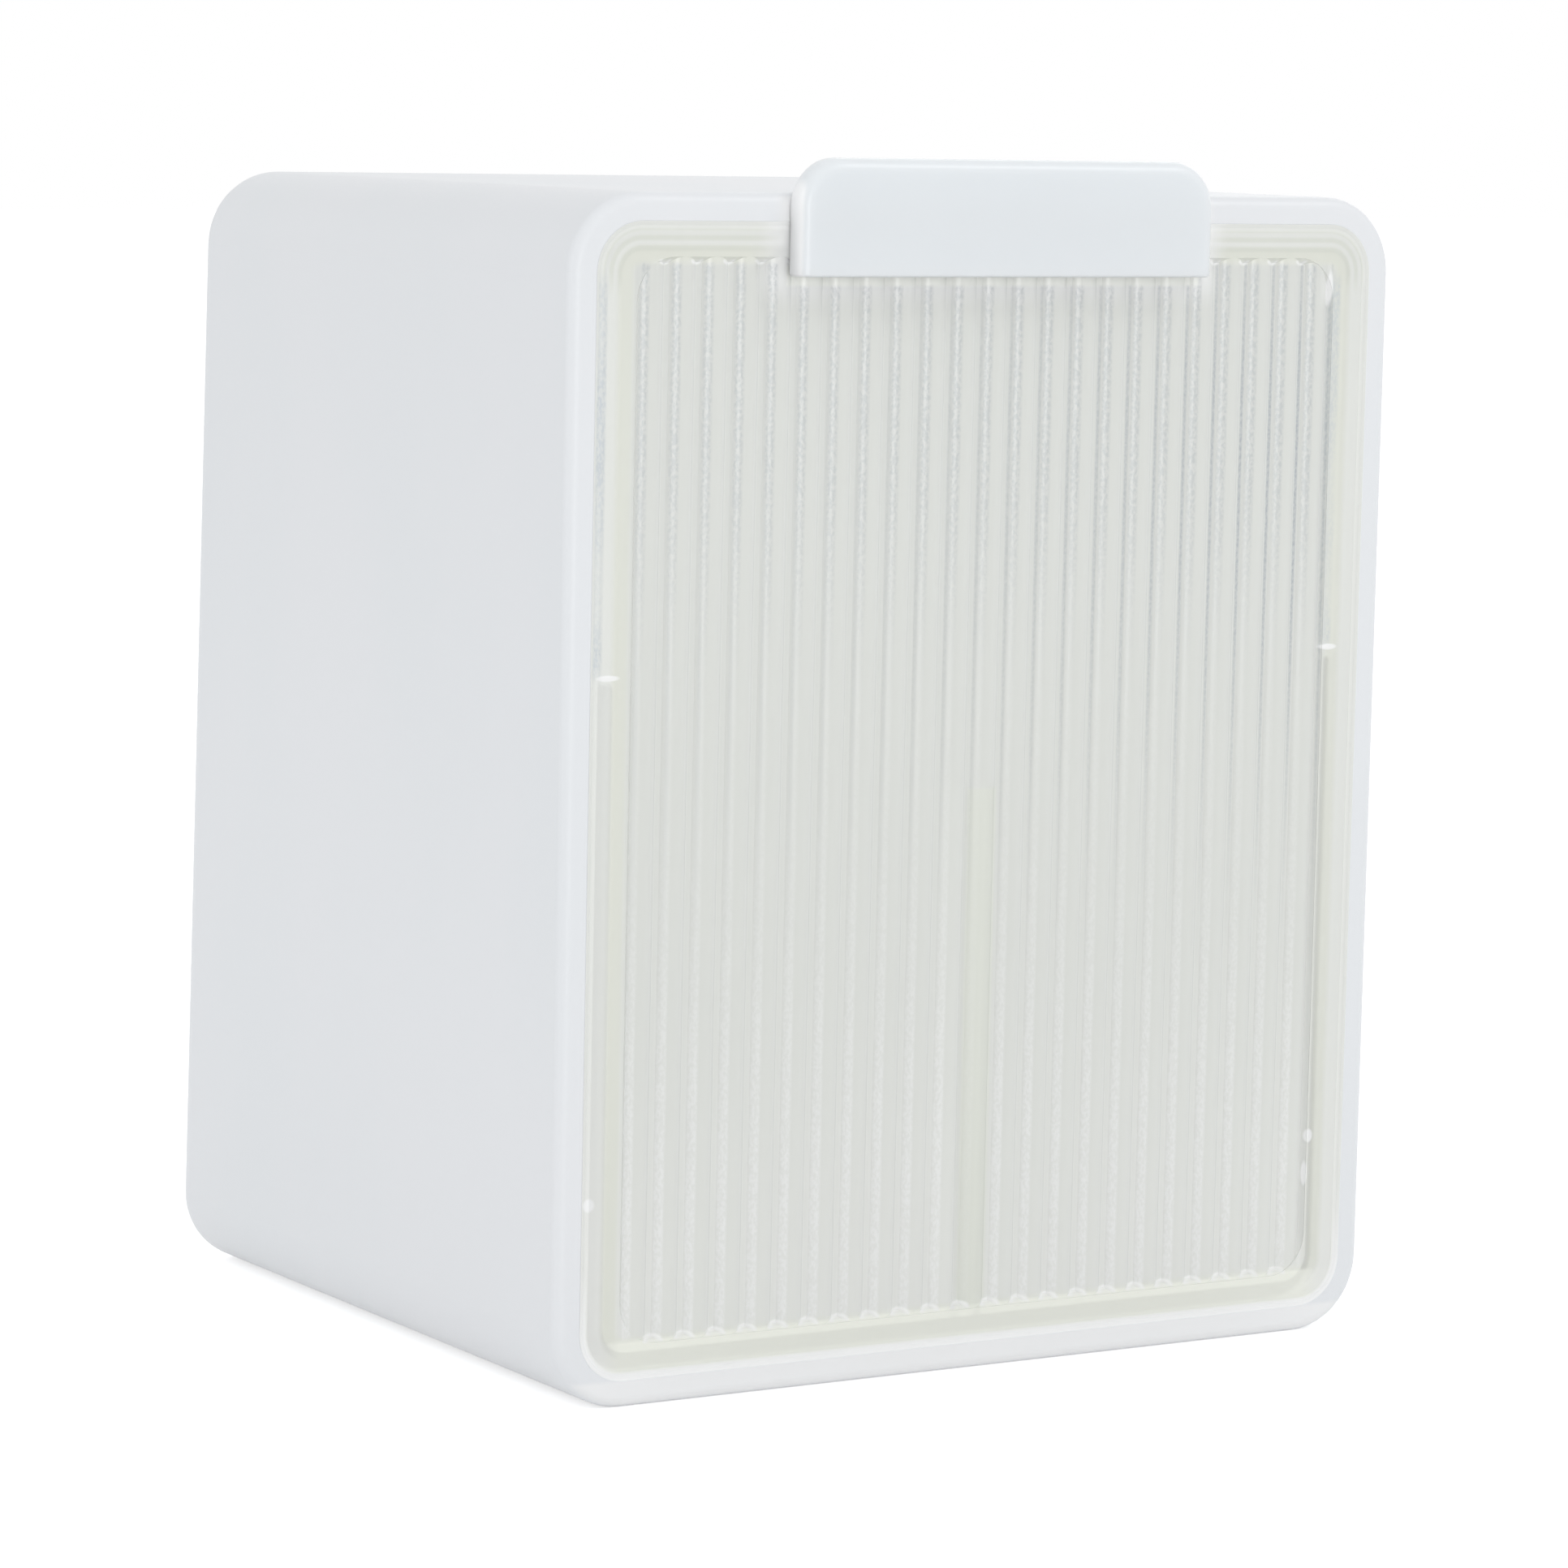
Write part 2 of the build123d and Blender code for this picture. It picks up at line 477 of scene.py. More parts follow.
@dataclass(frozen=True)
class TabMoulding(WhiteMoulding):
    """The tab's plastic, painted whiter on its thin sides and along its lower edge, against the
    shade there.
    """

    thin_side: Fade = Fade(TAB_HALF_WIDTH - 0.9 * MM, TAB_HALF_WIDTH - 0.2 * MM)
    low_edge: Fade = Fade(TAB_LOW + 0.1 * MM, TAB_LOW + 0.4 * MM, 1.0, 0.0)
    behind_face: Fade = Fade(TAB_FACE_Y + 0.1 * MM, TAB_FACE_Y + 0.6 * MM)
    tab_painted_light_colour: Colour = (0.98, 0.98, 0.98)

    def tint(self, board: Board) -> Socket:
        """Work out the plastic's colour.

        Args:
            board: The node board.

        Returns:
            The colour's socket.
        """
        # Painted whiter on the thin sides and the lower edge, against the shade that gathers there.
        side = board.fade(board.away_from(board.x), self.thin_side)
        below = board.fade(board.z, self.low_edge)
        share = board.times(board.most(side, below), board.fade(board.y, self.behind_face))
        return board.blend(share, super().tint(board), self.tab_painted_light_colour)


@dataclass(frozen=True)
class ClearMoulding(Moulding):
    """A clear moulded plastic with a milky share that hides part of what is behind it.

    Lamp light and the light between surfaces pass straight through it, tinted a little.
    """

    clear_share: float
    roughness: float
    lamp_colour: Colour
    cloud_cell: ClassVar[float] = 24 * MM
    cloud_flow: ClassVar[Point] = (1, 1, 0.3)

    def surface(self, board: Board, shader: bpy.types.Node) -> None:
        """Set how rough and how clear the plastic is."""
        shader.inputs["Roughness"].default_value = self.roughness
        shader.inputs["Transmission Weight"].default_value = self.clear_share

    def build(self) -> bpy.types.Material:
        """Build the material.

        Returns:
            The finished material.
        """
        board = Board(self.name)
        shader = board.node("BsdfPrincipled")
        board.join(self.tint(board), shader.inputs["Base Color"])
        self.surface(board, shader)
        shader.inputs["IOR"].default_value = PLASTIC_INDEX
        lets = board.node("BsdfTransparent")
        lets.inputs["Color"].default_value = (*self.lamp_colour, 1)
        mixed = board.node("MixShader")
        path = board.node("LightPath")
        passes = board.most(path.outputs["Is Shadow Ray"], path.outputs["Is Diffuse Ray"])
        board.join(passes, mixed.inputs[0])
        board.join(shader.outputs[0], mixed.inputs[1])
        board.join(lets.outputs[0], mixed.inputs[2])
        board.join(mixed.outputs[0], board.output.inputs["Surface"])
        return board.material


@dataclass(frozen=True)
class ReededMoulding(ClearMoulding):
    """The drawer's plastic: milky in its reeded front plate, and clear behind it.

    Painted light and shade stand in for what clear reeds do in front of a white box: a painted
    pale band by each valley low down, a thin painted shade line high up, and a painted highlight on
    each valley's sloped end. Offsets are measured across from a valley, heights from the holder's
    foot and depths inwards from the plate's rounded edge.
    """

    # The whole plate.
    plate_fade: Fade = Fade(-34.2 * MM, -33.8 * MM, 1.0, 0.0)
    front_clear_share: float = 0.32
    front_roughness: float = 0.25
    plate_colour: Colour = linear(232, 233, 228)
    plate_depth: Fade = Fade(3.2 * MM, 3.7 * MM, 0.6, 1.0)
    plate_foot: Fade = Fade(PLATE.field_low - 1 * MM, PLATE.field_low + 1 * MM)
    # Painted light: the plate is lighter towards its foot, where the lit drawer shows through.
    plate_rise: Fade = Fade(6 * MM, 40 * MM, 0.45, 1.0)
    painted_light_colour: Colour = linear(253, 253, 252)

    # The plain border between the plate's edge and its field.
    border_clear_share: float = 0.16
    border_colour: Colour = linear(236, 237, 227)
    border_band: Span = Span(1.9 * MM, 3.4 * MM, 0.8 * MM)
    border_foot: Fade = Fade(PLATE.field_low - 1 * MM, PLATE.field_low + 1 * MM, 0.1, 1.0)
    milky_edge: Fade = Fade(1.4 * MM, 2.4 * MM, 1.0, 0.0)
    low_border_colour: Colour = linear(246, 247, 237)
    low_border: Patch = Patch(
        Span(-PLATE.field_half_width - 1 * MM, PLATE.field_half_width + 1 * MM, 3 * MM),
        Span(PLATE.low + 0.4 * MM, PLATE.field_low + 0.35 * MM, 0.4 * MM),
    )
    lip_line: Fade = Fade(0.05 * MM, 0.45 * MM, 1.0, 0.0)
    lip_rise: Fade = Fade(PLATE.low + 2 * MM, PLATE.low + 12 * MM, 1.0, 0.0)
    ripple_colour: Colour = linear(224, 226, 216)
    ripple_pitch: float = 0.9 * MM
    ripple_wave: Fade = Fade(-1.0, 1.0, 0.0, 0.75)
    ripple_band: Span = Span(0.3 * MM, 2.4 * MM, 0.3 * MM)
    ripple_rise: Fade = Fade(PLATE.field_high - 4 * MM, PLATE.field_high - 1 * MM)

    # The reeded field, and the speckle that breaks up its lines.
    reeded: Patch = Patch(
        Span(-PLATE.field_half_width - 0.3 * MM, PLATE.field_half_width - 0.1 * MM, 0.3 * MM),
        Span(PLATE.field_low + 0.6 * MM, PLATE.field_high - 0.6 * MM, 0.5 * MM),
    )
    speckle_cell: float = 0.24 * MM
    speckle_flow: Point = (1, 1, 0.6)
    speckle_low: float = 0.32
    speckle_high: float = 0.68
    speckle_top: float = 1.2
    line_speckle: float = 0.7
    soft_speckle: float = 0.5
    shade_speckle: float = 0.4

    # The painted shade line by each valley, further from it at the plate's left, and its soft
    # painted shade.
    painted_shade_colour: Colour = linear(178, 184, 189)
    line_lean: float = -0.011
    line_offset: float = 0.35 * MM
    line_fade: Fade = Fade(0.04 * MM, 0.3 * MM, 1.0, 0.0)
    line_side: Fade = Fade(-20 * MM, 48 * MM, 0.2, 0.8)
    line_rise: Fade = Fade(34 * MM, 80 * MM)
    line_top: Fade = Fade(92 * MM, 103 * MM, 1.0, 0.6)
    shade_offset: float = 0.9 * MM
    shade_fade: Fade = Fade(0.2 * MM, 0.6 * MM, 0.42, 0.0)
    shade_rise: Fade = Fade(60 * MM, 88 * MM)

    # Painted light: the pale band on one side of each valley, and the thin pale flank on the other,
    # against the crease's shade.
    band_offset: float = 0.75 * MM
    band_fade: Fade = Fade(0.25 * MM, 0.58 * MM, 1.0, 0.0)
    band_rise: Fade = Fade(12 * MM, 62 * MM, 0.64, 0.1)
    flank_offset: float = -0.5 * MM
    flank_fade: Fade = Fade(0.1 * MM, 0.36 * MM, 0.3, 0.0)

    # The painted highlights at the ends of the valleys. The hollow's low and high are shares of an
    # end's radius.
    low_end: ValleyEnd = ValleyEnd(0.3 * MM, PLATE.field_low + 0.1 * MM, 1.1 * MM, True)
    high_end: ValleyEnd = ValleyEnd(-0.35 * MM, PLATE.field_high - 0.25 * MM, 0.75 * MM, False)
    end_squash: float = 2.2
    end_inner: float = 0.25 * MM
    end_outer: float = 0.15 * MM
    end_share: float = 0.85
    end_hollow: Fade = Fade(0.2, 0.75, 0.4, 1.0)
    end_side: Fade = Fade(-0.15 * MM, 0.15 * MM)
    end_reach: Span = Span(
        -PLATE.field_half_width + 2 * MM, PLATE.field_half_width - 2 * MM, 1 * MM
    )

    # Painted highlights on the tops of the drawer's sides and on the moulded stops low down.
    painted_light_spots: tuple[Spot, ...] = (
        Spot(-41.7 * MM, 19.0 * MM, 0.75 * MM, 0.75 * MM),
        Spot(38.5 * MM, 19.3 * MM, 0.55 * MM, 0.8 * MM),
        Spot(38.2 * MM, 15.6 * MM, 0.3 * MM, 1.4 * MM),
        Spot(-40.6 * MM, DRAWER_SIDE_TOP + 0.7 * MM, 1.4 * MM, 0.35 * MM),
        Spot(39.0 * MM, DRAWER_SIDE_TOP + 1.0 * MM, 1.2 * MM, 0.35 * MM),
        Spot(37.95 * MM, 101.4 * MM, 0.4 * MM, 2.0 * MM),
    )
    spot_fade: Fade = Fade(0.25, 1.0, 1.0, 0.0)

    # Painted shade: the greyer strips that show the dim space over the drawer's sides.
    grey_colour: Colour = linear(212, 217, 220)
    left_strip: Span = Span(-42.2 * MM, -41.3 * MM, 0.4 * MM)
    left_share: float = 0.8
    right_strip: Span = Span(37.9 * MM, 39.2 * MM, 0.5 * MM)
    right_share: float = 0.6
    over_sides: Span = Span(DRAWER_SIDE_TOP + 1 * MM, PLATE.field_high - 2 * MM, 2.0 * MM)
    strip_cell: float = 5 * MM
    strip_flow: Point = (1, 1, 0.5)
    strip_cloud: Fade = Fade(0.35, 0.6, 0.35, 1.1)

    # Painted light round the tab and in the strip just below it, against the tab's shade.
    tab_painted_light: Fade = Fade(0.0, 3.5 * MM, 0.9, 0.0)
    painted_light_under_tab_colour: Colour = linear(246, 247, 241)
    painted_light_under_tab: Patch = Patch(
        Span(-TAB_HALF_WIDTH, TAB_HALF_WIDTH, 0.5 * MM),
        Span(TAB_LOW - 0.9 * MM, TAB_LOW + 1 * MM, 0.5 * MM),
    )

    # The strip in front of the divider.
    divider_colour: Colour = linear(235, 237, 227)
    divider_share: float = 0.75
    divider_strip: Patch = Patch(
        Span(-1.55 * MM, 1.55 * MM, 0.3 * MM), Span(PLATE.field_low, 55 * MM, 0.4 * MM)
    )

    def front(self, board: Board) -> Socket:
        """Tell the front plate, 1, from the rest of the drawer, 0."""
        return board.fade(board.y, self.plate_fade)

    def on_patch(self, board: Board, patch: Patch) -> Socket:
        """Mark a patch on the front plate.

        Args:
            board: The node board.
            patch: The patch.

        Returns:
            The socket with 1 on the patch and 0 elsewhere.
        """
        across = board.within(board.x, patch.across)
        up = board.within(board.z, patch.up)
        return board.times(across, up, self.front(board))

    def from_valley(self, board: Board, offset: Any) -> Socket:
        """Measure the distance across to the nearest line that stands beside its valley."""
        along = board.math("ADD", board.x, PLATE.field_half_width)
        return board.math("PINGPONG", board.less(along, offset), PLATE.pitch / 2)

    def inside_edge(self, board: Board) -> Socket:
        """Measure how far a point lies inside the front plate's rounded edge.

        Args:
            board: The node board.

        Returns:
            The socket with the distance, in metres.
        """
        middle = (PLATE.low + PLATE.high) / 2
        half_height = (PLATE.high - PLATE.low) / 2
        across = board.less(board.away_from(board.x), PLATE.half_width - PLATE.radius)
        up = board.less(board.away_from(board.z, middle), half_height - PLATE.radius)
        corner = board.length(board.most(across, 0.0), board.most(up, 0.0))
        straight = board.math("MINIMUM", board.most(across, up), 0.0)
        return board.less(PLATE.radius, board.math("ADD", corner, straight))

    def on_spot(self, board: Board, spot: Spot) -> Socket:
        """Mark a soft round spot on the front plate.

        Args:
            board: The node board.
            spot: The spot's middle and reach.

        Returns:
            The socket with 1 at the spot's middle and 0 outside.
        """
        across = board.math("DIVIDE", board.less(board.x, spot.x), spot.reach_x)
        up = board.math("DIVIDE", board.less(board.z, spot.z), spot.reach_z)
        squares = board.math("ADD", board.times(across, across), board.times(up, up))
        return board.fade(squares, self.spot_fade)

    def speckle(self, board: Board, low: float) -> Socket:
        """Make the fine vertical speckle that breaks up the lines.

        Args:
            board: The node board.
            low: The least share that the speckle leaves.

        Returns:
            The socket with the speckle.
        """
        noise = board.noise(self.speckle_cell, COARSE_DETAIL, self.speckle_flow)
        fade = Fade(self.speckle_low, self.speckle_high, low, self.speckle_top)
        return board.fade(noise, fade)

    def painted_shade_lines(self, board: Board) -> Socket:
        """Mark the thin painted shade lines by the valleys: strong at the top right, and gone at
        the bottom.

        Args:
            board: The node board.

        Returns:
            The socket with each point's share of the painted shade colour.
        """
        offset = board.math("MULTIPLY_ADD", board.x, self.line_lean)
        offset.node.inputs[2].default_value = self.line_offset
        core = board.times(
            board.fade(self.from_valley(board, offset), self.line_fade),
            self.speckle(board, self.line_speckle),
            board.fade(board.x, self.line_side),
            board.fade(board.z, self.line_top),
        )
        beside = board.times(
            board.fade(self.from_valley(board, self.shade_offset), self.shade_fade),
            self.speckle(board, self.shade_speckle),
            board.fade(board.z, self.shade_rise),
        )
        marked = board.times(board.most(core, beside), self.on_patch(board, self.reeded))
        return board.math("MULTIPLY", marked, board.fade(board.z, self.line_rise), clamp=True)

    def painted_light_bands(self, board: Board) -> Socket:
        """Mark the painted light band beside each valley: strong at the bottom, and faint at the
        top.

        Args:
            board: The node board.

        Returns:
            The socket with each point's share of the painted light colour.
        """
        wide = board.times(
            board.fade(self.from_valley(board, self.band_offset), self.band_fade),
            board.fade(board.z, self.band_rise),
            self.speckle(board, self.soft_speckle),
        )
        flank = board.fade(self.from_valley(board, self.flank_offset), self.flank_fade)
        reeded = self.on_patch(board, self.reeded)
        return board.math("MULTIPLY", board.most(wide, flank), reeded, clamp=True)

    def valley_end(self, board: Board, end: ValleyEnd) -> Socket:
        """Mark the painted highlights on the sloped ends of the valleys along one end of the field.

        Args:
            board: The node board.
            end: Where the ends lie and how far they bulge.

        Returns:
            The socket with 1 on the ends and 0 elsewhere.
        """
        across = self.from_valley(board, end.offset)
        if end.bulges_up:
            away = board.less(board.z, end.level)
        else:
            away = board.less(end.level, board.z)
        squashed = board.times(away, away, self.end_squash)
        reach = board.math("SQRT", board.math("ADD", board.times(across, across), squashed))
        inner, outer = end.radius - self.end_inner, end.radius + self.end_outer
        core, rim = end.radius * self.end_hollow.low, end.radius * self.end_hollow.high
        return board.times(
            board.fade(reach, Fade(inner, outer, self.end_share, 0.0)),
            board.fade(reach, Fade(core, rim, self.end_hollow.start, self.end_hollow.end)),
            board.fade(away, self.end_side),
            board.within(board.x, self.end_reach),
            self.front(board),
        )

    def highlights(self, board: Board) -> Socket:
        """Mark the painted highlights: the valley ends, the tops of the drawer's sides and the low
        moulded stops.

        Args:
            board: The node board.

        Returns:
            The socket with 1 on the highlights and 0 elsewhere.
        """
        ends = [self.valley_end(board, end) for end in (self.low_end, self.high_end)]
        painted_light_spots = [self.on_spot(board, spot) for spot in self.painted_light_spots]
        return board.times(board.most(*ends, *painted_light_spots), self.front(board))

    def side_shades(self, board: Board) -> Socket:
        """Mark the painted shade: the greyer strips that show the dim space over the drawer's
        sides.

        Args:
            board: The node board.

        Returns:
            The socket with each point's share of grey.
        """
        left = board.times(board.within(board.x, self.left_strip), self.left_share)
        right = board.times(board.within(board.x, self.right_strip), self.right_share)
        noise = board.noise(self.strip_cell, COARSE_DETAIL, self.strip_flow)
        speckled = board.times(
            board.most(left, right),
            board.within(board.z, self.over_sides),
            board.fade(noise, self.strip_cloud),
            self.speckle(board, self.soft_speckle),
        )
        return board.math("MULTIPLY", speckled, self.front(board), clamp=True)

    def top_ripples(self, board: Board) -> Socket:
        """Mark the fine darker lines painted along the plate's top edge.

        Args:
            board: The node board.

        Returns:
            The socket with each point's share of the lines' colour.
        """
        depth = self.inside_edge(board)
        wave = board.math("SINE", board.times(depth, 2 * math.pi / self.ripple_pitch))
        return board.times(
            board.fade(wave, self.ripple_wave),
            board.within(depth, self.ripple_band),
            board.fade(board.z, self.ripple_rise),
            self.front(board),
        )

    def painted_light_round_tab(self, board: Board) -> Socket:
        """Mark the plate round the tab, painted lighter against the tab's shade, as light thrown by
        the white tab.

        Args:
            board: The node board.

        Returns:
            The socket with each point's share of the painted light colour.
        """
        beside = board.less(board.away_from(board.x), TAB_HALF_WIDTH)
        below = board.less(TAB_LOW, board.z)
        apart = board.length(board.most(beside, 0.0), board.most(below, 0.0))
        return board.times(board.fade(apart, self.tab_painted_light), self.front(board))

    def painted_lip_highlight(self, board: Board) -> Socket:
        """Mark the painted highlight along the plate's lower edge and up round its lower corners.
        """
        line = board.fade(self.inside_edge(board), self.lip_line)
        return board.times(line, board.fade(board.z, self.lip_rise), self.front(board))

    def tint(self, board: Board) -> Socket:
        """Work out the plastic's colour, with its border and its painted light bands, shade lines
        and highlights.

        Args:
            board: The node board.

        Returns:
            The colour's socket.
        """
        front = self.front(board)
        depth = self.inside_edge(board)
        plate = board.times(
            front,
            board.fade(depth, self.plate_depth),
            board.fade(board.z, self.plate_foot),
            board.fade(board.z, self.plate_rise),
        )
        border = board.times(
            board.within(depth, self.border_band), front, board.fade(board.z, self.border_foot)
        )
        divider = board.times(self.on_patch(board, self.divider_strip), self.divider_share)
        # Painted light: round and under the tab, the bands, the lip and the highlights. Painted
        # shade: the side strips and the valley lines.
        layers = (
            (plate, self.plate_colour),
            (border, self.border_colour),
            (self.top_ripples(board), self.ripple_colour),
            (self.on_patch(board, self.low_border), self.low_border_colour),
            (self.painted_light_round_tab(board), self.painted_light_colour),
            (self.painted_light_bands(board), self.painted_light_colour),
            (divider, self.divider_colour),
            (self.side_shades(board), self.grey_colour),
            (self.painted_shade_lines(board), self.painted_shade_colour),
            (self.on_patch(board, self.painted_light_under_tab), self.painted_light_under_tab_colour),
            (self.painted_lip_highlight(board), self.painted_light_colour),
            (self.highlights(board), self.painted_light_colour),
        )
        colour = super().tint(board)
        for share, layer_colour in layers:
            colour = board.blend(share, colour, layer_colour)
        return colour

    def surface(self, board: Board, shader: bpy.types.Node) -> None:
        """Set how rough and how clear the front plate and the rest are.

        Args:
            board: The node board.
            shader: The plastic's shader.
        """
        front = self.front(board)
        rough = board.fade(front, Fade(0, 1, self.roughness, self.front_roughness))
        board.join(rough, shader.inputs["Roughness"])
        clear = board.fade(front, Fade(0, 1, self.clear_share, self.front_clear_share))
        # The painted highlights, the painted light under the tab and the low border are also
        # milkier, so that they show brighter.
        milky = board.most(
            board.times(board.fade(self.inside_edge(board), self.milky_edge), front),
            self.highlights(board),
            self.on_patch(board, self.painted_light_under_tab),
            self.on_patch(board, self.low_border),
        )
        mixed = board.node("Mix", data_type="FLOAT")
        board.join(milky, mixed.inputs[0])
        board.join(clear, mixed.inputs[2])
        mixed.inputs[3].default_value = self.border_clear_share
        board.join(mixed.outputs[0], shader.inputs["Transmission Weight"])


@dataclass(frozen=True)
class StudioPaper:
    """The white paper floor: white to the camera, and darker only where the holder shades it."""

    name: str = "studio_paper"
    colour: Colour = (0.9, 0.9, 0.9)
    fibre_share: float = 0.99
    fibre_cell: float = 1.5 * MM
    fibre_fade: Fade = Fade(0.3, 0.7)
    lift: float = 0.55

    def build(self) -> bpy.types.Material:
        """Build the material.

        Returns:
            The finished material.
        """
        board = Board(self.name)
        paper = board.node("BsdfDiffuse")
        fibre = board.fade(board.noise(self.fibre_cell, FINE_DETAIL), self.fibre_fade)
        darker = tuple(self.fibre_share * value for value in self.colour)
        board.join(board.blend(fibre, self.colour, darker), paper.inputs["Color"])
        glow = board.node("Emission")
        path = board.node("LightPath")
        rays = ("Is Camera Ray", "Is Glossy Ray", "Is Transmission Ray")
        seen = board.most(*[path.outputs[ray] for ray in rays])
        board.join(board.times(seen, self.lift), glow.inputs["Strength"])
        both = board.node("AddShader")
        board.join(paper.outputs[0], both.inputs[0])
        board.join(glow.outputs[0], both.inputs[1])
        board.join(both.outputs[0], board.output.inputs["Surface"])
        return board.material


CASE_FINISH = CaseMoulding(
    name="case_white",
    colour=linear(235, 236, 238),
    cloud_colour=linear(233, 235, 237),
    gloss=0.36,
    rougher=0.46,
)
TAB_FINISH = TabMoulding(
    name="tab_white",
    colour=linear(231, 234, 236),
    cloud_colour=linear(230, 233, 235),
    gloss=0.3,
    rougher=0.34,
    grain_depth=0.0008 * MM,
    scatter_share=0.8,
)
DRAWER_FINISH = ReededMoulding(
    name="drawer_clear",
    colour=linear(244, 244, 240),
    cloud_colour=linear(242, 243, 238),
    clear_share=0.93,
    roughness=0.08,
    lamp_colour=(0.97, 0.97, 0.965),
)
DIVIDER_FINISH = ClearMoulding(
    name="divider_clear",
    colour=linear(245, 246, 243),
    cloud_colour=linear(244, 245, 242),
    clear_share=0.93,
    roughness=0.08,
    lamp_colour=(0.97, 0.97, 0.965),
)


@dataclass
class DressedNode:
    """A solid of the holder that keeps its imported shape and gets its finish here."""

    node: Node
    finish: WhiteMoulding | ClearMoulding

    def dress(self) -> bpy.types.Object:
        """Give the solid its finish.

        Returns:
            The dressed solid.
        """
        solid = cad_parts[self.node.value]
        material = self.finish.build()
        for place in solid.material_slots:
            place.material = material
        if not solid.material_slots:
            solid.data.materials.append(material)
        return solid


@dataclass
class EdgeBead:
    """The thin clear bead round the drawer front, flared to follow the rim's rounded inner edge.

    Its section starts behind the plate's edge, comes forward to the face, curls round the rim's
    rounded corner and goes back into the gap between plate and rim.
    """

    plate: FrontPlate = PLATE
    inset: float = 0.42 * MM
    face_y: float = -38.5 * MM
    depth: float = 0.9 * MM
    rim_gap: float = 0.25 * MM
    rim_radius: float = 0.25 * MM
    clearance: float = 0.04 * MM
    flare: float = 62.0
    corner_steps: int = 14
    round_steps: int = 6

    def loop(self, grown: float, y: float) -> list[Point]:
        """Draw the plate's outline, grown by a distance, at one depth.

        Args:
            grown: How far outside the plate's edge the loop runs.
            y: The loop's depth.

        Returns:
            The loop's points.
        """
        plate = self.plate
        radius = plate.radius + grown
        across = plate.half_width - plate.radius
        corners = (
            (across, plate.high - plate.radius, 0),
            (-across, plate.high - plate.radius, 90),
            (-across, plate.low + plate.radius, 180),
            (across, plate.low + plate.radius, 270),
        )
        points = []
        for x, z, start in corners:
            for step in range(self.corner_steps + 1):
                turn = math.radians(start + 90 * step / self.corner_steps)
                points.append((x + radius * math.cos(turn), y, z + radius * math.sin(turn)))
        return points

    def section(self) -> list[tuple[float, float]]:
        """Draw the bead's section.

        Returns:
            Its points, each as the distance outside the plate's edge and the depth.
        """
        back = self.face_y + self.depth
        reach = self.rim_radius + self.clearance
        centre = (self.rim_gap + self.rim_radius, RIM_Y + self.rim_radius)
        points = [(-self.inset, back), (-self.inset, self.face_y), (0.0, self.face_y)]
        for step in range(self.round_steps, -1, -1):
            turn = math.radians(self.flare * step / self.round_steps)
            points.append((centre[0] - reach * math.cos(turn), centre[1] - reach * math.sin(turn)))
        points.append((self.rim_gap - self.clearance, back))
        return points

    def build(self, finish: bpy.types.Material) -> bpy.types.Object:
        """Build the bead as a closed ring.

        Args:
            finish: The drawer's material.

        Returns:
            The bead object.
        """
        loops = [self.loop(grown, y) for grown, y in self.section()]
        points = [point for loop in loops for point in loop]
        count, rings = len(loops[0]), len(loops)
        faces = []
        for ring in range(rings):
            here, after = ring * count, (ring + 1) % rings * count
            for step in range(count):
                beside = (step + 1) % count
                faces.append((here + step, here + beside, after + beside, after + step))
        mesh = bpy.data.meshes.new("front_edge_bead")
        mesh.from_pydata(points, [], faces)
        turned = bmesh.new()
        turned.from_mesh(mesh)
        bmesh.ops.recalc_face_normals(turned, faces=turned.faces)
        turned.to_mesh(mesh)
        turned.free()
        mesh.shade_flat()
        mesh.materials.append(finish)
        bead = bpy.data.objects.new("front_edge_bead", mesh)
        bpy.context.scene.collection.objects.link(bead)
        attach(bead, Body.DRAWER_UNIT.value)
        return bead


@dataclass
class WhiteCase(DressedNode):
    """The white open-fronted case."""

    node: Node = Node.SHELL
    finish: WhiteMoulding = CASE_FINISH


@dataclass
class ClearDrawer(DressedNode):
    """The clear drawer with its reeded front."""

    node: Node = Node.DRAWER
    finish: ClearMoulding = DRAWER_FINISH


@dataclass
class DividerPlate(DressedNode):
    """The clear plate in the middle of the drawer."""

    node: Node = Node.DIVIDER
    finish: ClearMoulding = DIVIDER_FINISH


@dataclass
class ClipTab(DressedNode):
    """The white handle tab clipped over the drawer front."""

    node: Node = Node.TAB
    finish: WhiteMoulding = TAB_FINISH


@dataclass(frozen=True)
class Softbox:
    """A rectangular studio lamp with an even face."""

    name: str
    spot: Point
    size: tuple[float, float]
    power: float

    def place(self, aim: Point) -> bpy.types.Object:
        """Hang the lamp and turn it to its aim.

        Args:
            aim: The point that the lamp faces.

        Returns:
            The lamp object.
        """
        lamp = bpy.data.lights.new(self.name, "AREA")
        lamp.shape = "RECTANGLE"
        lamp.size, lamp.size_y = self.size
        lamp.energy = self.power
        hung = bpy.data.objects.new(self.name, lamp)
        hung.location = self.spot
        towards = Vector(aim) - Vector(self.spot)
        hung.rotation_euler = towards.to_track_quat("-Z", "Y").to_euler()
        bpy.context.scene.collection.objects.link(hung)
        return hung


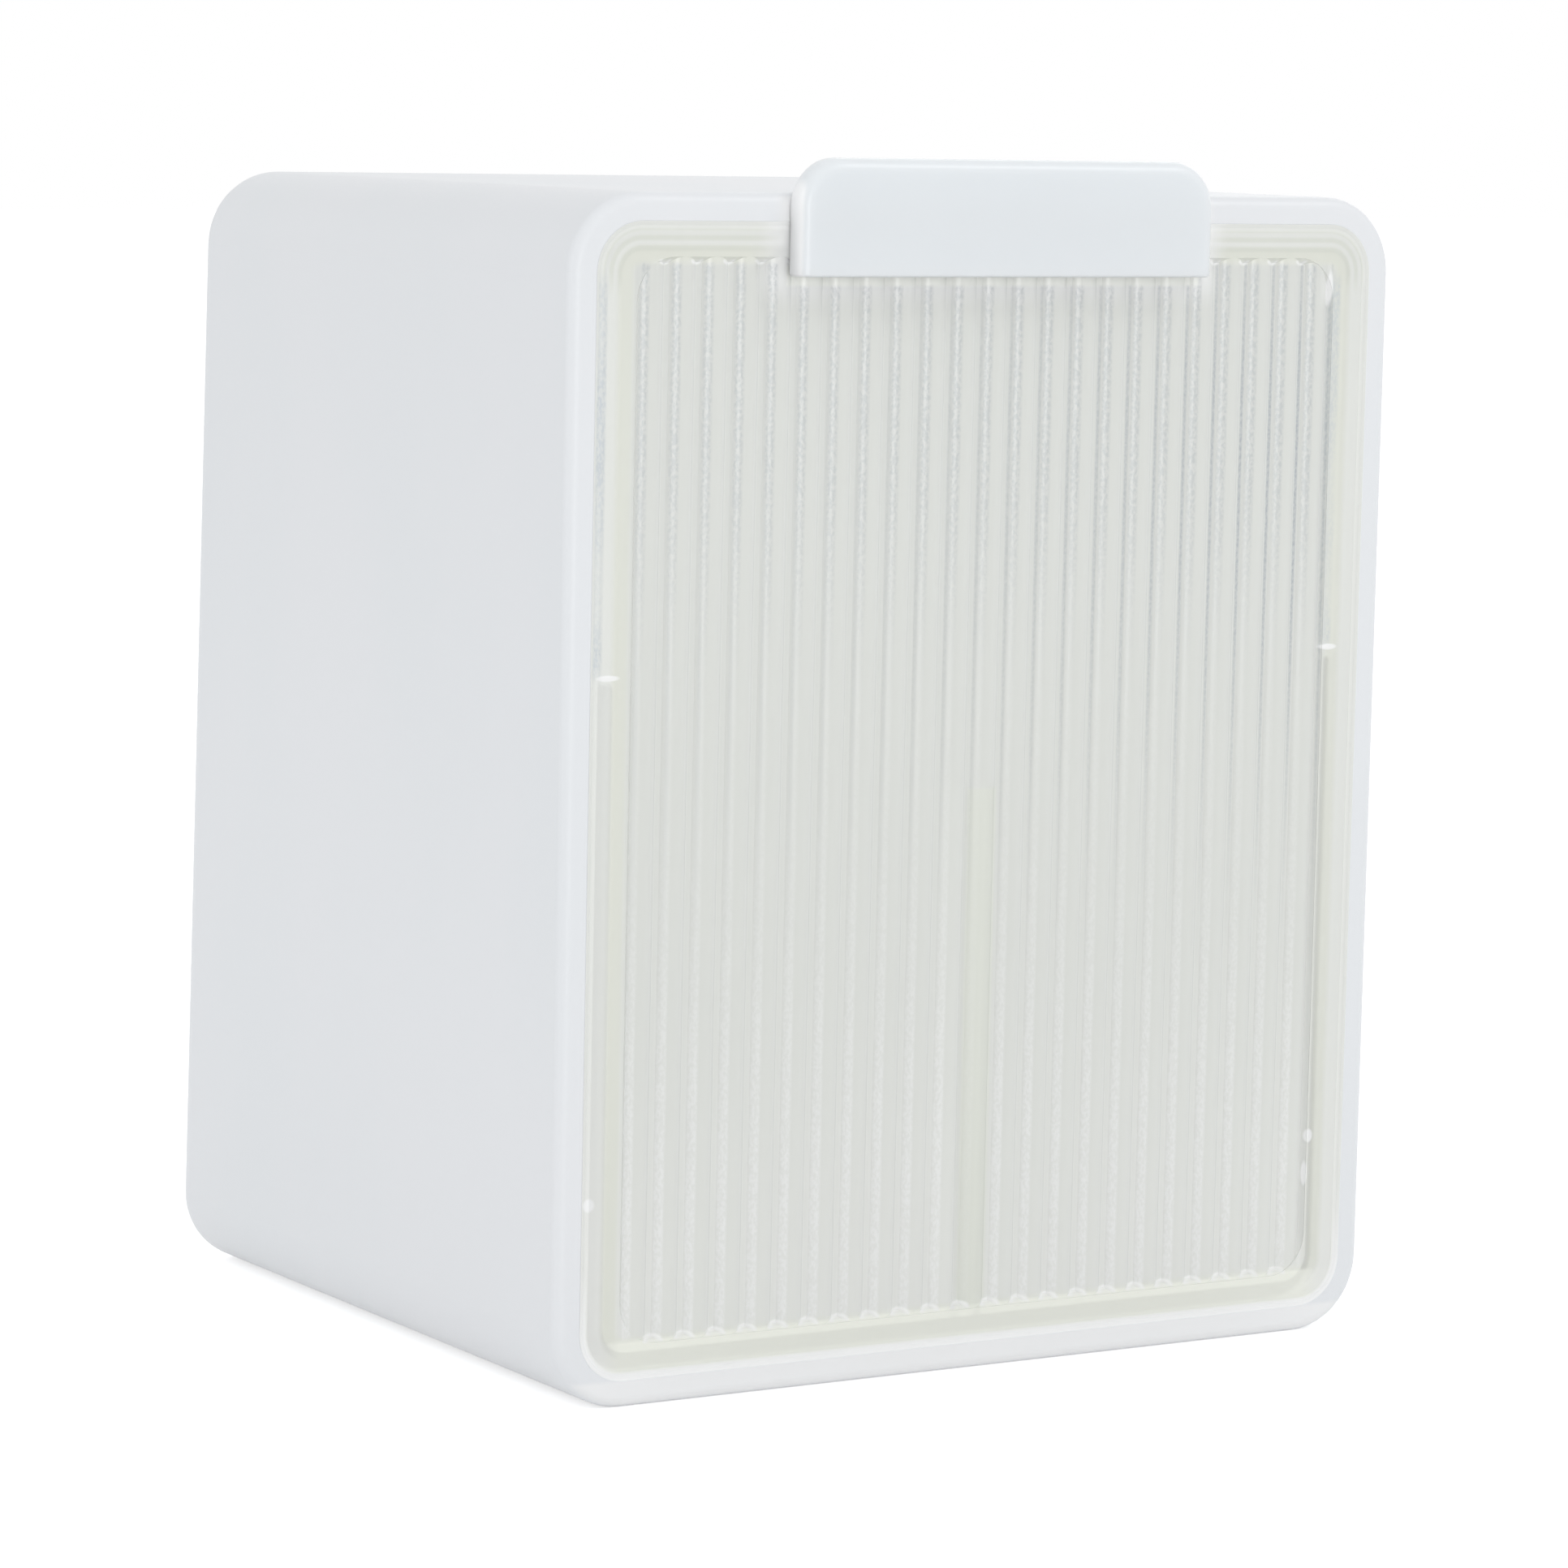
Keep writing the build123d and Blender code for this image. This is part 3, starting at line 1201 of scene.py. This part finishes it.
@dataclass
class Studio:
    """The floor, the soft lamps and the pale surroundings."""

    floor_size: float = 8.0
    floor_steps: int = 8
    seen_colour: Colour = (1, 1, 1)
    seen_strength: float = 1.0
    air_colour: Colour = (0.97, 0.985, 1)
    air_strength: float = 0.76
    middle: Point = (0, 0, 0.055)
    lamps: tuple[Softbox, ...] = (
        Softbox("front_softbox", spot=(-0.25, -1.05, 0.1), size=(0.3, 0.3), power=1.8),
        Softbox("edge_softbox", spot=(0.55, -0.55, 0.75), size=(0.3, 0.3), power=1.15),
        Softbox("left_softbox", spot=(-1.0, -0.15, 0.4), size=(0.5, 0.5), power=0.95),
        Softbox("rear_softbox", spot=(0.8, 0.7, 0.6), size=(0.6, 0.6), power=0.8),
    )

    def lay_floor(self) -> bpy.types.Object:
        """Lay the paper floor under the holder.

        Returns:
            The floor object.
        """
        half, steps = self.floor_size / 2, self.floor_steps
        ticks = [half * (2 * step / steps - 1) for step in range(steps + 1)]
        points = [(x, y, 0.0) for y in ticks for x in ticks]
        row = steps + 1
        corners = [j * row + i for j in range(steps) for i in range(steps)]
        faces = [(low, low + 1, low + row + 1, low + row) for low in corners]
        mesh = bpy.data.meshes.new("studio_floor")
        mesh.from_pydata(points, [], faces)
        mesh.materials.append(StudioPaper().build())
        floor = bpy.data.objects.new("studio_floor", mesh)
        bpy.context.scene.collection.objects.link(floor)
        return floor

    def surround(self) -> None:
        """Fill the surroundings: white to the camera and a soft even light for the holder."""
        world = bpy.data.worlds.new("studio_air")
        world.use_nodes = True
        tree = world.node_tree
        tree.nodes.clear()
        out = tree.nodes.new("ShaderNodeOutputWorld")
        seen = tree.nodes.new("ShaderNodeBackground")
        seen.inputs["Color"].default_value = (*self.seen_colour, 1)
        seen.inputs["Strength"].default_value = self.seen_strength
        light = tree.nodes.new("ShaderNodeBackground")
        light.inputs["Color"].default_value = (*self.air_colour, 1)
        light.inputs["Strength"].default_value = self.air_strength
        path = tree.nodes.new("ShaderNodeLightPath")
        sees = path.outputs["Is Camera Ray"]
        for ray in ("Is Glossy Ray", "Is Transmission Ray"):
            either = tree.nodes.new("ShaderNodeMath")
            either.operation = "MAXIMUM"
            tree.links.new(sees, either.inputs[0])
            tree.links.new(path.outputs[ray], either.inputs[1])
            sees = either.outputs[0]
        mix = tree.nodes.new("ShaderNodeMixShader")
        tree.links.new(sees, mix.inputs[0])
        tree.links.new(light.outputs[0], mix.inputs[1])
        tree.links.new(seen.outputs[0], mix.inputs[2])
        tree.links.new(mix.outputs[0], out.inputs["Surface"])
        bpy.context.scene.world = world

    def build(self) -> None:
        """Build the whole studio: the floor, the surroundings and the lamps."""
        self.lay_floor()
        self.surround()
        for lamp in self.lamps:
            lamp.place(self.middle)


@dataclass
class PhotoCamera:
    """The camera at the photograph's place, from a fit to the case's outline and rim."""

    yaw: float = math.radians(31.37)
    pitch: float = math.radians(6.85)
    roll: float = math.radians(1.18)
    spot: Point = (-0.2984, -0.4919, 0.1202)
    focal_pixels: float = 7236.5
    sensor: float = 36.0
    nearest: float = 0.01
    farthest: float = 50.0

    def build(self) -> bpy.types.Object:
        """Set the camera up.

        Returns:
            The camera object.
        """
        level = Vector((math.cos(self.yaw), -math.sin(self.yaw), 0))
        forward = Vector((math.sin(self.yaw), math.cos(self.yaw), 0))
        ahead = math.cos(self.pitch) * forward - Vector((0, 0, math.sin(self.pitch)))
        above = level.cross(ahead)
        right = math.cos(self.roll) * level + math.sin(self.roll) * above
        up = -math.sin(self.roll) * level + math.cos(self.roll) * above
        turn = Matrix((right, up, -ahead)).transposed().to_4x4()
        lens = bpy.data.cameras.new("photo_camera")
        lens.sensor_fit = "HORIZONTAL"
        lens.sensor_width = self.sensor
        lens.lens = self.sensor * self.focal_pixels / PHOTO_PIXELS
        lens.clip_start = self.nearest
        lens.clip_end = self.farthest
        camera = bpy.data.objects.new("photo_camera", lens)
        camera.matrix_world = Matrix.Translation(self.spot) @ turn
        bpy.context.scene.collection.objects.link(camera)
        bpy.context.scene.camera = camera
        return camera


def main() -> None:
    """Build the studio, dress each sub-assembly and set up the camera."""
    logging.basicConfig(level=logging.INFO, format="%(name)s: %(message)s")
    bpy.context.scene.view_settings.view_transform = "Standard"
    for part in (WhiteCase(), ClearDrawer(), DividerPlate(), ClipTab()):
        solid = part.dress()
        faces = len(solid.data.polygons)
        log.info("%s dressed in %s, %d faces", solid.name, part.finish.name, faces)
        if part.node is Node.DRAWER:
            bead = EdgeBead().build(solid.material_slots[0].material)
            log.info("%s made, %d faces", bead.name, len(bead.data.polygons))
    Studio().build()
    PhotoCamera().build()


if __name__ == "__main__":
    main()
